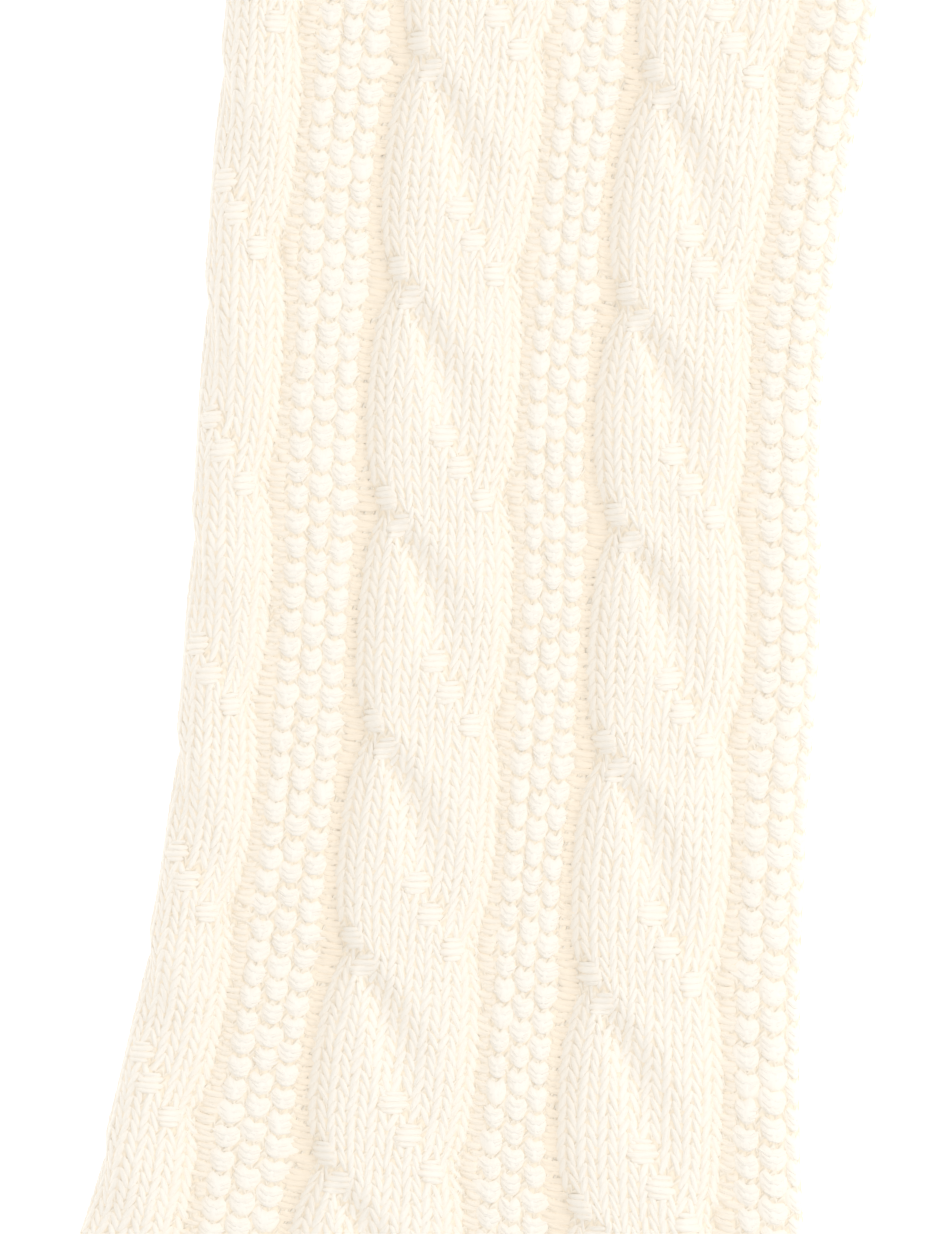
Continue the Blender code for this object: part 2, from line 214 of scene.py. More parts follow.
class FlatTube:
    """The flattened tube of the sock: where its surface lies, by distance round it and along it."""

    def __init__(self) -> None:
        """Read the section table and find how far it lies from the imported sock's origin."""
        table = np.array([[s.front_x, s.front_y, s.back_x, s.back_y] for s in SECTIONS])
        low, high = np.array(CAD_BOX[0]), np.array(CAD_BOX[1])
        shift = np.array([low[0] / MM - table[:, 0].min(), high[1] / MM - table[:, 1].max()])
        self.ends = table + np.tile(shift, 2)
        middle = (self.ends[:, :2] + self.ends[:, 2:]) / 2
        self.steps = np.hypot(*np.diff(middle, axis=0).T)
        self.stations = np.concatenate([[0.0], np.cumsum(self.steps)])
        rates = np.diff(self.ends, axis=0) / self.steps[:, None]
        before, after = self.steps[:-1, None], self.steps[1:, None]
        inner = (rates[:-1] * after + rates[1:] * before) / (before + after)
        self.slopes = np.vstack([rates[:1], inner, rates[-1:]])
        self.length = float(self.stations[-1])

    def folds(self, along: np.ndarray) -> tuple[np.ndarray, np.ndarray]:
        """Find both folds at distances along the sock.

        Args:
            along: distances from the cuff's edge, along the middle.

        Returns:
            The front fold's and the back fold's points, as X and Y.
        """
        cell = np.clip(np.searchsorted(self.stations, along) - 1, 0, len(self.steps) - 1)
        step = self.steps[cell][..., None]
        t = (along - self.stations[cell])[..., None] / step
        curve = (
            (2 * t**3 - 3 * t**2 + 1) * self.ends[cell]
            + (t**3 - 2 * t**2 + t) * step * self.slopes[cell]
            + (3 * t**2 - 2 * t**3) * self.ends[cell + 1]
            + (t**3 - t**2) * step * self.slopes[cell + 1]
        )
        return curve[..., :2], curve[..., 2:]

    def width(self, along: np.ndarray) -> np.ndarray:
        """Flat width at distances along the sock."""
        front, back = self.folds(along)
        return np.linalg.norm(back - front, axis=-1)

    def smallness(self, along: np.ndarray) -> np.ndarray:
        """How much the folds shrink where the sock is narrow, 1 where it is wide."""
        return np.minimum(1.0, self.width(along) / FULL_WIDTH)

    def over_top(self, along: np.ndarray) -> np.ndarray:
        """Distance over the top, from fold to fold, measured on the cloth."""
        return self.width(along) + 2 * (FOLD_ARC - FOLD_ROUND) * self.smallness(along)

    def under_way(self, share: np.ndarray, along: np.ndarray) -> np.ndarray:
        """Distance round to a point of the underside, less than nothing from the front fold.

        Args:
            share: share of the flat width, from the front fold; over 1 is counted back from the back fold.
            along: distances from the cuff's edge.

        Returns:
            Distances round the tube, as place() takes them.
        """
        tuck = (TUCK_ARC - TUCK_ROUND) * self.smallness(along)
        from_front = -(share * self.width(along) + tuck)
        from_back = self.over_top(along) + (2 - share) * self.width(along) + tuck
        return np.where(share <= 1.0, from_front, from_back)

    def place(
        self, around: np.ndarray, along: np.ndarray, wall: np.ndarray, bulge: np.ndarray | float = 0.0
    ) -> np.ndarray:
        """Put points on the tube's outer face.

        Args:
            around: distances over the top from the front fold; the underside is under 0 or past the back.
            along: distances from the cuff's edge.
            wall: thickness of the upper layer at each point.
            bulge: how far a fold stands out there.

        Returns:
            Points as X, Y, Z.
        """
        front, back = self.folds(along)
        width = np.linalg.norm(back - front, axis=-1)
        small = np.minimum(1.0, width / FULL_WIDTH)
        total = width + 2 * (FOLD_ARC - FOLD_ROUND) * small
        near = np.minimum(around, total - around)
        turn = np.clip(near / (FOLD_ARC * small), 0, 1) * math.pi / 2
        tuck = np.clip(-near / (TUCK_ARC * small), 0, 1) * math.pi / 2
        in_over = FOLD_ROUND * small * (1 - np.cos(turn)) + np.maximum(near - FOLD_ARC * small, 0)
        in_under = TUCK_ROUND * small * (1 - np.cos(tuck)) + np.maximum(-near - TUCK_ARC * small, 0)
        inset = np.where(near >= 0, in_over, in_under) - bulge * np.cos(turn) * np.cos(tuck)
        left = 1 - np.clip(np.minimum(along, self.length - along) / END_ROUND, 0.0, 1.0)
        end = END_WALL + (1 - END_WALL) * np.sqrt(1 - left**2)
        rise = (UNDER_WALL + SLIT + wall - FOLD_HEIGHT) * end
        height = np.where(
            near >= 0,
            FOLD_HEIGHT + rise * np.sin(turn),
            FOLD_HEIGHT * (1 - np.sin(tuck) * np.where(along > self.length / 2, end, 1.0)),
        )
        share = np.where(around < total - around, inset, width - inset) / width
        flat = front + (back - front) * share[..., None]
        return np.concatenate([flat, height[..., None]], axis=-1)


@dataclass(frozen=True)
class CablePattern:
    """The knitted chart: where cables rise, cross and pull in, and where the panels' bumps are."""

    right_marks: tuple[tuple[float, float], ...] = ((4.2, 6.9), (5.1, 9.35), (6.6, 11.8))
    left_marks: tuple[tuple[float, float], ...] = ((0.75, 12.2), (1.6, 14.3))
    right_pinch: float = 0.55
    left_pinch: float = 0.9
    right_notch: float = 11.2
    left_notch: float = 13.3
    notch_fill: float = 0.65
    step: float = 0.58
    overlap: float = 0.4
    over_middle: float = 2.0
    over_width: float = 1.2
    flatness: float = 4.2
    seed_wales: tuple[float, ...] = (9.25, 10.6, 11.9)
    gutter_wales: tuple[float, ...] = (8.35, 12.8)
    left_reach: float = 10.2

    def notch(self, course: np.ndarray, centre: float) -> np.ndarray:
        """How near a course is to a cable's notch, sharp at the notch itself.

        Args:
            course: courses from the leg's top.
            centre: the notch's course in the repeat.

        Returns:
            Shares, 1 in the notch and 0 away from it.
        """
        half = REPEAT_COURSES / 2
        gap = np.abs((course - centre + half) % REPEAT_COURSES - half)
        return read_table(NOTCH_FADE, gap)

    def from_left(self, within: np.ndarray) -> np.ndarray:
        """Wales from a cable's left edge, less than nothing just before it."""
        return np.where(within > self.left_reach, within - REPEAT_WALES, within)

    def shift(self, wale: np.ndarray, course: np.ndarray) -> np.ndarray:
        """How far the crossings pull each wale sideways.

        Args:
            wale: wales from the chart's first.
            course: courses from the leg's top.

        Returns:
            Shifts in wales, to the back of the sock where positive.
        """
        within = wale % REPEAT_WALES
        right = self.right_pinch * self.notch(course, self.right_notch)
        left = self.left_pinch * self.notch(course, self.left_notch)
        return left * read_table(LEFT_PULL, self.from_left(within)) - right * read_table(RIGHT_PULL, within)

    def crown(self, within: np.ndarray) -> np.ndarray:
        """Round back of a cable across its wales, from 0 at its edges to 1."""
        off = np.clip(np.abs(within - CABLE_WALES / 2) / (CABLE_WALES / 2), 0, 1)
        return 1 - off**self.flatness

    def wall(self, wale: np.ndarray, course: np.ndarray) -> np.ndarray:
        """Thickness of the patterned upper layer.

        Args:
            wale: wales from the chart's first.
            course: courses from the leg's top.

        Returns:
            Thicknesses.
        """
        within = wale % REPEAT_WALES
        crown = self.crown(within)
        past = (course - self.left_notch + 0.5) % REPEAT_COURSES
        off = within - read_table(STRAND_EDGE, past)
        wide = read_table(DIP_FALL, past)
        behind = np.clip(off / wide + 0.6, 0.0, 1.0)
        behind = behind * behind * (3 - 2 * behind)
        rise = read_table(DIP_RISE, past)
        dip = behind * np.exp(-((np.maximum(off - 0.4 * wide, 0.0) / rise) ** 2))
        height = CABLE_WALL - GUTTER_WALL
        cable = height * crown * (1 - self.step * read_table(DIP_DEPTH, past) * dip)
        near = np.where(past > REPEAT_COURSES / 2, past - REPEAT_COURSES, past)
        beside = (within - read_table(OVER_EDGE, near) - self.over_middle) / self.over_width
        cable = cable + self.overlap * read_table(OVER_SHARE, near) * np.exp(-(beside**2)) * crown
        panel = (PANEL_WALL - GUTTER_WALL) * read_table(PANEL_COLUMNS, within)
        at_left = self.notch(course, self.left_notch) * read_table(LEFT_FILL, self.from_left(within))
        at_right = self.notch(course, self.right_notch) * read_table(RIGHT_FILL, within)
        filled = self.notch_fill * (at_left + at_right)
        return GUTTER_WALL + np.maximum(np.where(within <= CABLE_WALES, cable, panel), filled)


@dataclass(frozen=True)
class BodyGround:
    """The leg, heel and foot as ground for stitches, by wale and by distance along."""

    tube: FlatTube
    pattern: CablePattern

    def patterned(self, wale: np.ndarray, along: np.ndarray) -> np.ndarray:
        """1 where the cloth is cabled and 0 where it is plain, with a short step between."""
        on_leg = np.clip((LEG_END + 1.2 - along) / 2.0, 0, 1)
        on_instep = np.clip((INSTEP_EDGE + 0.15 - wale) / 0.3, 0, 1)
        before_toe = np.clip((FOOT_END + 1.2 - along) / 2.0, 0, 1)
        return np.maximum(on_leg, on_instep) * before_toe

    def around(self, wale: np.ndarray, along: np.ndarray) -> np.ndarray:
        """Distance round the tube of a wale, before its crossings pull it."""
        width, total = self.tube.width(along), self.tube.over_top(along)
        lost = (total - width) / 2
        wales, shares = np.array(WALE_SHARES).T
        flat = np.interp(wale, wales, shares) * width + lost
        front = (wale - FRONT_FOLD) / (wales[0] - FRONT_FOLD) * (shares[0] * width + lost)
        back = total - (BACK_FOLD - wale) / (BACK_FOLD - wales[-1]) * ((1 - shares[-1]) * width + lost)
        return np.where(wale < wales[0], front, np.where(wale > wales[-1], back, flat))

    def points(self, wale: np.ndarray, along: np.ndarray) -> np.ndarray:
        """The outer face at wales and distances along.

        Args:
            wale: wales from the chart's first.
            along: distances from the cuff's edge.

        Returns:
            Points as X, Y, Z.
        """
        course = (along - CUFF_END) / COURSE
        mask = self.patterned(wale, along)
        wall = mask * self.pattern.wall(wale, course) + (1 - mask) * PLAIN_WALL
        pulled = wale + mask * self.pattern.shift(wale, course)
        rest = np.where(wale < INSTEP_EDGE, FRONT_REST, BACK_REST)
        bulge = FOLD_BULGE * mask * (wall - rest)
        return self.tube.place(self.around(pulled, along), along, wall, bulge)


@dataclass(frozen=True)
class CuffGround:
    """The ribbed cuff as ground: across it counts ribs from the front fold."""

    tube: FlatTube

    def points(self, rib: np.ndarray, along: np.ndarray) -> np.ndarray:
        """The outer face at ribs and distances along, as BodyGround gives it."""
        wall = VALLEY_WALL + (RIB_WALL - VALLEY_WALL) * read_table(RIB_CREST, rib % 1.0)
        return self.tube.place(rib / CUFF_RIBS * self.tube.over_top(along), along, wall)


@dataclass(frozen=True)
class ToeGround:
    """The toe as ground: across it counts wales from the sock's middle."""

    tube: FlatTube

    def points(self, wale: np.ndarray, along: np.ndarray) -> np.ndarray:
        """The outer face at wales from the middle and distances along."""
        around = self.tube.over_top(along) / 2 + wale * PLAIN_WALE
        return self.tube.place(around, along, np.full(np.shape(around), PLAIN_WALL))


Ground = BodyGround | CuffGround | ToeGround


def outward(ground: Ground, across: np.ndarray, along: np.ndarray) -> tuple[np.ndarray, np.ndarray]:
    """Points of a ground's outer face and the directions that it faces.

    Args:
        ground: the ground.
        across: its first coordinate.
        along: distances from the cuff's edge.

    Returns:
        Points, and unit normals.
    """
    small = 0.06
    here = ground.points(across, along)
    side = ground.points(across + small, along) - ground.points(across - small, along)
    down = ground.points(across, along + small) - ground.points(across, along - small)
    normal = np.cross(down, side)
    size = np.linalg.norm(normal, axis=-1, keepdims=True)
    return here, normal / np.maximum(size, 1e-9)


class StitchKind(Enum):
    """The grains of yarn that the knitting is made of."""

    LEFT_LEG = "left leg of a plain stitch"
    RIGHT_LEG = "right leg of a plain stitch"
    STRAND = "strand of a crossing's purl mark"
    LADDER = "purl bar in a gutter"
    SEED = "seed bump"
    LOOP = "strand looped round a seed bump"


@dataclass(frozen=True)
class GrainShape:
    """Measures of one grain of yarn: across in wales, the rest in millimetres."""

    centre_x: float
    centre_y: float
    half_x: float
    half_y: float
    height: float
    lean: float = 0.0  # how far its lower end lies to the side, in wales
    bend: float = 0.0  # how far its middle bows to the side, or its ends rise on a bar
    tip_rise: float = 0.0  # how much its upper end stands over its lower end
    sink: float = 0.06
    lying: bool = False  # whether its yarn runs across the wales


GRAINS = {
    StitchKind.LEFT_LEG: GrainShape(-0.235, 0.0, 0.185, 1.6, 0.21, lean=-0.17, bend=-0.02, tip_rise=0.06),
    StitchKind.RIGHT_LEG: GrainShape(0.26, 0.0, 0.175, 1.5, 0.195, lean=0.21, bend=0.03, tip_rise=0.06),
    StitchKind.STRAND: GrainShape(0.0, 0.0, 0.6, 0.46, 0.28, bend=0.1, lying=True),
    StitchKind.LADDER: GrainShape(0.0, 0.0, 0.38, 0.53, 0.23, bend=0.3, lying=True),
    StitchKind.SEED: GrainShape(0.0, 0.05, 0.71, 1.9, 0.3),
    StitchKind.LOOP: GrainShape(0.0, -0.3, 0.66, 0.42, 0.26, bend=0.85, lying=True),
}


@dataclass
class Grain:
    """One modelled grain of yarn, ready to be copied."""

    points: np.ndarray
    corners: np.ndarray
    starts: np.ndarray
    yarn_map: np.ndarray
    flat_map: np.ndarray
    # the last array is 1 at the grain's rim and 0 at its top, and sets its painted shade
    edge: np.ndarray


def select_none() -> None:
    """Leave nothing selected and nothing in edit mode."""
    if bpy.context.mode != "OBJECT":
        bpy.ops.object.mode_set(mode="OBJECT")
    bpy.ops.object.select_all(action="DESELECT")


def model_grain(kind: StitchKind) -> Grain:
    """Model one grain as half an egg of yarn, from a sphere cut in half.

    Args:
        kind: the grain to model.

    Returns:
        The grain's mesh as arrays.
    """
    shape = GRAINS[kind]
    select_none()
    sides, rings = (12, 8) if kind is StitchKind.SEED else (8, 5)
    bpy.ops.mesh.primitive_uv_sphere_add(segments=sides, ring_count=rings, radius=1.0)
    ball = bpy.context.object
    bpy.ops.object.mode_set(mode="EDIT")
    bpy.ops.mesh.select_all(action="SELECT")
    if kind is not StitchKind.SEED:
        bpy.ops.transform.rotate(value=math.pi / 2, orient_axis="X", center_override=(0, 0, 0))
    bpy.ops.mesh.bisect(plane_co=(0, 0, 0), plane_no=(0, 0, 1), clear_inner=True)
    bpy.ops.object.mode_set(mode="OBJECT")
    mesh = ball.data
    points = np.array([vertex.co for vertex in mesh.vertices])
    corners = np.array([index for face in mesh.polygons for index in face.vertices])
    starts = np.array([face.loop_start for face in mesh.polygons])
    bpy.data.objects.remove(ball)
    bpy.data.meshes.remove(mesh)
    if shape.lying:
        points = points[:, [1, 0, 2]] * [1, -1, 1]
    x, y, z = points.T
    way = x * (shape.half_x * WALE) if shape.lying else y * shape.half_y
    yarn_map = np.stack([way, (y if shape.lying else x) * 0.5], axis=-1)
    return Grain(shaped(kind, shape, points), corners, starts, yarn_map, points[:, :2].copy(), 1 - z)


def shaped(kind: StitchKind, shape: GrainShape, ball: np.ndarray) -> np.ndarray:
    """Stretch and bend the half ball into its grain.

    Args:
        kind: the grain.
        shape: its measures.
        ball: the half ball's points.

    Returns:
        The grain's points, across in wales.
    """
    x, y, z = ball.T
    length = x if shape.lying else y
    fuller = np.sqrt((1 - length**4) / np.maximum(1 - length**2, 0.05))
    if kind is StitchKind.SEED:
        cleft = np.exp(-((x / 0.26) ** 2)) * np.clip(y + 0.15, 0.0, 1.0)
        side = shape.half_x * x * (1.0 + 0.15 * y + 0.14 * y**2)
        up = shape.half_y * (y * (1 + 0.08 * x**2) - 0.42 * cleft)
        height = shape.height * z**0.8 * (1 - 0.75 * cleft)
    elif shape.lying:
        side = shape.half_x * x
        up = shape.half_y * y * fuller + shape.bend * x**2
        height = shape.height * z * fuller
    else:
        side = shape.half_x * x * fuller - shape.lean * y + shape.bend * (1 - y**2)
        up = shape.half_y * y
        height = shape.height * z * fuller + shape.tip_rise * y
    return np.stack([shape.centre_x + side, shape.centre_y + up, height - shape.sink], axis=-1)


@dataclass(frozen=True)
class Unevenness:
    """How much stitches differ from one another, as spreads of random draws."""

    tilt: float = 0.05
    width: float = 0.04
    length: float = 0.03
    height: float = 0.06
    across: float = 0.02
    along: float = 0.05


@dataclass
class StitchSheet:
    """The stitches of one piece, laid grain by grain on a ground and made into one mesh."""

    name: str
    ground: Ground
    grains: dict[StitchKind, Grain]
    seed: int
    uneven: Unevenness = Unevenness()
    vertices: int = 0
    loops: int = 0
    laid: int = 0
    parts: list[tuple[np.ndarray, ...]] = field(default_factory=list)

    def __post_init__(self) -> None:
        """Seed the small random differences between stitches."""
        self.random = np.random.default_rng(self.seed)

    def lay(
        self,
        kind: StitchKind,
        across: np.ndarray,
        along: np.ndarray,
        *,
        size: float = 1.0,
        reach: np.ndarray | float = 1.0,
        turn: float = 0.0,
        lift: float = 0.0,
        warmth: float = 0.0,
        unit: float = 1.0,
        wobble: float = 1.0,
    ) -> None:
        """Lay one grain at each place.

        Args:
            kind: the grain.
            across: the places' first coordinate on the ground.
            along: their distances from the cuff's edge.
            size: the grain's size against its modelled one.
            reach: how far a millimetre of the grain reaches along the ground's own distance.
            turn: how far the grain is turned, in radians.
            lift: how far it stands over its usual height.
            warmth: painted shade, from 0 to 1, for how deep in the cloth the grain lies, which draws its
                colour towards the yarn's shade colour.
            unit: one wale in the ground's first coordinate.
            wobble: how uneven the grains lie, against plain stitches.
        """
        count = np.size(across)
        if not count:
            return
        across, along = np.reshape(across, (count, 1)), np.reshape(along, (count, 1))
        grain = self.grains[kind]
        draws = wobble * self.random.normal(0.0, 1.0, (5, count, 1))
        uneven = self.uneven
        tilt = turn + uneven.tilt * draws[0]
        x, y, z = (size * grain.points).T
        side = (x * np.cos(tilt) - y / WALE * np.sin(tilt)) * (1 + uneven.width * draws[1])
        up = (y * np.cos(tilt) + x * WALE * np.sin(tilt)) * (1 + uneven.length * draws[2])
        u = across + (side + uneven.across * draws[3]) * unit
        v = along - (up + uneven.along * draws[4]) * np.reshape(reach, (-1, 1))
        v = np.clip(v, TINY, self.ground.tube.length - TINY)
        here, normal = outward(self.ground, u, v)
        raised = z * (1 + uneven.height * draws[2]) + lift - YARN_DEPTH
        points = here + normal * raised[..., None]
        points[..., 2] = np.maximum(points[..., 2], TINY)
        offset = self.random.uniform(0, 40, (count, 1, 2))
        number = np.arange(count)[:, None]
        self.parts.append(
            (
                points.reshape(-1, 3),
                (grain.corners + self.vertices + number * len(x)).ravel(),
                (grain.starts + self.loops + number * len(grain.corners)).ravel(),
                (grain.yarn_map + offset).reshape(-1, 2),
                np.tile(grain.flat_map, (count, 1)),
                np.repeat(self.laid + number, len(x)),
                np.tile(np.clip(EDGE_SHADE * grain.edge + warmth, 0, 1), count),
            )
        )
        self.vertices += count * len(x)
        self.loops += count * len(grain.corners)
        self.laid += count

    def knit(self, across: np.ndarray, along: np.ndarray, **options: float | np.ndarray) -> None:
        """Lay plain stitches, two legs each."""
        self.lay(StitchKind.LEFT_LEG, across, along, **options)
        self.lay(StitchKind.RIGHT_LEG, across, along, **options)

    def finish(self, material: bpy.types.Material) -> bpy.types.Object:
        """Join what was laid into one object.

        Args:
            material: the yarn's finish.

        Returns:
            The new piece.
        """
        joined = (np.concatenate(each) for each in zip(*self.parts))
        points, corners, starts, yarn, flat, number, warm = joined
        mesh = bpy.data.meshes.new(self.name)
        mesh.vertices.add(len(points))
        mesh.vertices.foreach_set("co", (points * MM).astype(np.float32).ravel())
        mesh.loops.add(len(corners))
        mesh.loops.foreach_set("vertex_index", corners.astype(np.int32))
        mesh.polygons.add(len(starts))
        mesh.polygons.foreach_set("loop_start", starts.astype(np.int32))
        mesh.update(calc_edges=True)
        # each grain has a square of its own on a second map, OFBake
        rows = math.ceil(math.sqrt(self.laid))
        square = np.stack([number % rows, number // rows], axis=-1)
        atlas = (square + 0.5 + 0.46 * flat) / rows
        for name, values in (("yarn", yarn), ("OFBake", atlas)):
            layer = mesh.uv_layers.new(name=name)
            layer.data.foreach_set("uv", values[corners].astype(np.float32).ravel())
        mesh.uv_layers["yarn"].active_render = True
        # painted shade: a share for each point, which the yarn's finish turns into a darker, more orange
        # colour
        painted_shade = mesh.attributes.new("painted_shade", "FLOAT", "POINT")
        painted_shade.data.foreach_set("value", warm.astype(np.float32))
        mesh.shade_smooth()
        mesh.materials.append(material)
        piece = bpy.data.objects.new(self.name, mesh)
        bpy.context.scene.collection.objects.link(piece)
        LOG.info("%s: %d grains, %d vertices", self.name, self.laid, len(points))
        return piece


@dataclass
class Shell:
    """The cloth under the stitches of one packed stretch: a tube, or part of one, with its wall."""

    name: str
    tube: FlatTube
    pieces: list[bpy.types.Object] = field(default_factory=list)

    def add(self, ground: Ground, across: np.ndarray, along: np.ndarray, under: tuple[float, ...]) -> None:
        """Add a grid of cloth over the top of a ground and on round its underside.

        Args:
            ground: the ground over the top.
            across: its first coordinates over the top, from front to back.
            along: distances from the cuff's edge.
            under: shares of the width on the underside that the cloth goes on to, before the top where up
                to 1 and after it where over 1.
        """
        v, u = np.meshgrid(along, across, indexing="ij")
        top, normal = outward(ground, u, v)
        top = top - normal * YARN_DEPTH
        before = [share for share in under if share <= 1.0]
        after = [share for share in under if share > 1.0]
        sides = []
        for shares in (before, after):
            v, share = np.meshgrid(along, np.array(shares), indexing="ij")
            points = self.tube.place(self.tube.under_way(share, v), v, np.full(v.shape, PLAIN_WALL))
            points[..., 2] = np.maximum(points[..., 2], 0.0)
            sides.append(points)
        points = np.concatenate([sides[0], top, sides[1]], axis=1)
        rows, columns = points.shape[:2]
        select_none()
        bpy.ops.mesh.primitive_grid_add(x_subdivisions=columns - 1, y_subdivisions=rows - 1, size=2.0)
        cloth = bpy.context.object
        cloth.data.vertices.foreach_set("co", (points * MM).astype(np.float32).ravel())
        self._map(cloth.data, points)
        self.pieces.append(cloth)

    def _map(self, mesh: bpy.types.Mesh, points: np.ndarray) -> None:
        """Give a grid a map in millimetres round and along it, for its knitted bump."""
        ways = []
        for axis in (1, 0):
            steps = np.linalg.norm(np.diff(points, axis=axis, prepend=points.take([0], axis)), axis=-1)
            ways.append(np.cumsum(steps, axis=axis).ravel())
        places = np.stack(ways, axis=-1)
        corners = np.empty(len(mesh.loops), np.int32)
        mesh.loops.foreach_get("vertex_index", corners)
        for layer in list(mesh.uv_layers):
            mesh.uv_layers.remove(layer)
        layer = mesh.uv_layers.new(name="yarn")
        layer.data.foreach_set("uv", places[corners].astype(np.float32).ravel())

    def finish(self, material: bpy.types.Material, close_end: bool = False) -> bpy.types.Object:
        """Join the grids, close them and give the cloth its wall.

        Args:
            material: the cloth's finish.
            close_end: whether the end farthest along is capped.

        Returns:
            The shell.
        """
        select_none()
        for piece in self.pieces:
            piece.select_set(True)
        cloth = self.pieces[0]
        bpy.context.view_layer.objects.active = cloth
        if len(self.pieces) > 1:
            bpy.ops.object.join()
        cloth.name = cloth.data.name = self.name
        bpy.ops.object.mode_set(mode="EDIT")
        bpy.ops.mesh.select_all(action="SELECT")
        bpy.ops.mesh.remove_doubles(threshold=MERGE * MM)
        if close_end:
            self._cap(cloth)
        bpy.ops.mesh.select_all(action="SELECT")
        bpy.ops.mesh.normals_make_consistent(inside=False)
        bpy.ops.object.mode_set(mode="OBJECT")
        wall = cloth.modifiers.new("wall", "SOLIDIFY")
        wall.thickness = SHELL_WALL * MM
        wall.offset = -1.0
        bpy.ops.object.modifier_apply(modifier="wall")
        cloth.data.shade_smooth()
        cloth.data.materials.clear()
        cloth.data.materials.append(material)
        LOG.info("%s: %d faces", self.name, len(cloth.data.polygons))
        return cloth

    def _cap(self, cloth: bpy.types.Object) -> None:
        """Cap the cloth's far end with a face on its edge, found by its distance from the last section."""
        bpy.ops.mesh.select_all(action="DESELECT")
        bpy.ops.object.mode_set(mode="OBJECT")
        front, back = self.tube.folds(np.array([self.tube.length]))
        middle = (front[0] + back[0]) / 2
        width = np.linalg.norm(back[0] - front[0])
        direction = (back[0] - front[0]) / width
        points = np.array([vertex.co[:] for vertex in cloth.data.vertices]) / MM
        off = (points[:, :2] - middle) @ np.array([-direction[1], direction[0]])
        near = np.linalg.norm(points[:, :2] - middle, axis=1) < width / 2 + 1.0
        for vertex, chosen in zip(cloth.data.vertices, near & (np.abs(off) < 0.75)):
            vertex.select = bool(chosen)
        bpy.ops.object.mode_set(mode="EDIT")
        bpy.ops.mesh.edge_face_add()


@dataclass
class Wire:
    """A shader socket that stands in a Python expression."""

    board: "NodeBoard"
    socket: bpy.types.NodeSocket

    def __add__(self, other: "Wire | float") -> "Wire":
        """This plus other."""
        return self.board.node("ShaderNodeMath", {"operation": "ADD"}, {0: self, 1: other})

    def __mul__(self, other: "Wire | float") -> "Wire":
        """This times other."""
        return self.board.node("ShaderNodeMath", {"operation": "MULTIPLY"}, {0: self, 1: other})

    __radd__ = __add__
    __rmul__ = __mul__


class NodeBoard:
    """The nodes of one material."""

    def __init__(self, name: str) -> None:
        """Start a material with its shader and nothing else."""
        self.material = bpy.data.materials.new(name)
        self.material.use_nodes = True
        self.tree = self.material.node_tree
        self.shader = self.tree.nodes["Principled BSDF"]

    def node(self, kind: str, settings: dict, inputs: dict, output: int | str = 0) -> Wire:
        """Add a node.

        Args:
            kind: the node's type.
            settings: its own settings, set first.
            inputs: values or wires for its sockets, by name or place.
            output: the socket to hand back.

        Returns:
            The wire of that output.
        """
        node = self.tree.nodes.new(kind)
        for setting, value in settings.items():
            setattr(node, setting, value)
        for socket, value in inputs.items():
            self.link(value, node.inputs[socket])
        return Wire(self, node.outputs[output])

    def link(self, value: "Wire | float | tuple", socket: bpy.types.NodeSocket) -> None:
        """Join a wire to a socket, or set the socket's own value."""
        if isinstance(value, Wire):
            self.tree.links.new(value.socket, socket)
        else:
            socket.default_value = value

    def sine(self, angle: Wire) -> Wire:
        """The sine of an angle."""
        return self.node("ShaderNodeMath", {"operation": "SINE"}, {0: angle})

    def set(self, values: dict[str, float | tuple]) -> None:
        """Set the shader's own sockets."""
        for name, value in values.items():
            self.link(value, self.shader.inputs[name])

    def matt(self, roughness: float, sheen: float) -> None:
        """Set the shader's own sockets for wool that hardly shines."""
        wool = {"Roughness": roughness, "Sheen Weight": sheen, "Sheen Roughness": 0.6}
        self.set(wool | {"Specular IOR Level": 0.2})

    def paint(self, share: Wire, first: tuple, second: tuple) -> None:
        """Colour the shader with a mix of two colours."""
        mixed = self.node("ShaderNodeMix", {"data_type": "RGBA"}, {0: share, 6: first, 7: second}, 2)
        self.link(mixed, self.shader.inputs["Base Color"])

    def bump(self, height: Wire, strength: float, distance: float) -> None:
        """Turn the shader's normal by a height in millimetres."""
        values = {"Height": height, "Strength": strength, "Distance": distance * MM}
        self.link(self.node("ShaderNodeBump", {}, values), self.shader.inputs["Normal"])


@dataclass(frozen=True)
class WoolYarn:
    """Undyed woollen yarn: cream on its crests, with painted shade in a darker, more orange colour towards
    its edges and deep in the cloth, matt, with fine fibres along it.
    """

    name: str
    crest: tuple[float, float, float, float] = (0.97, 0.94, 0.885, 1.0)
    # painted shade: the colour the yarn is given at its edges and deep in the cloth, in place of shade
    painted_shade: tuple[float, float, float, float] = (0.964, 0.868, 0.735, 1.0)
    roughness: float = 0.9
    sheen: float = 0.25
    fibre_bump: float = 0.45
    fibre_grain: tuple[float, float, float] = (0.6, 5.0, 1.0)

    def material(self) -> bpy.types.Material:
        """Make the finish.

        Returns:
            The material.
        """
        board = NodeBoard(self.name)
        board.matt(self.roughness, self.sheen)
        yarn = board.node("ShaderNodeUVMap", {"uv_map": "yarn"}, {})
        along = board.node("ShaderNodeVectorMath", {"operation": "MULTIPLY"}, {0: yarn, 1: self.fibre_grain})
        fibres = board.node("ShaderNodeTexNoise", {}, {"Vector": along, "Scale": 1.0, "Detail": 2.0})
        # painted shade: each point's share draws the colour from the crest colour to the shade colour,
        # varied along the fibres
        painted_shade = board.node("ShaderNodeAttribute", {"attribute_name": "painted_shade"}, {}, "Fac")
        board.paint(painted_shade * (0.6 + 0.8 * fibres), self.crest, self.painted_shade)
        board.bump(fibres, self.fibre_bump, 0.4)
        return board.material


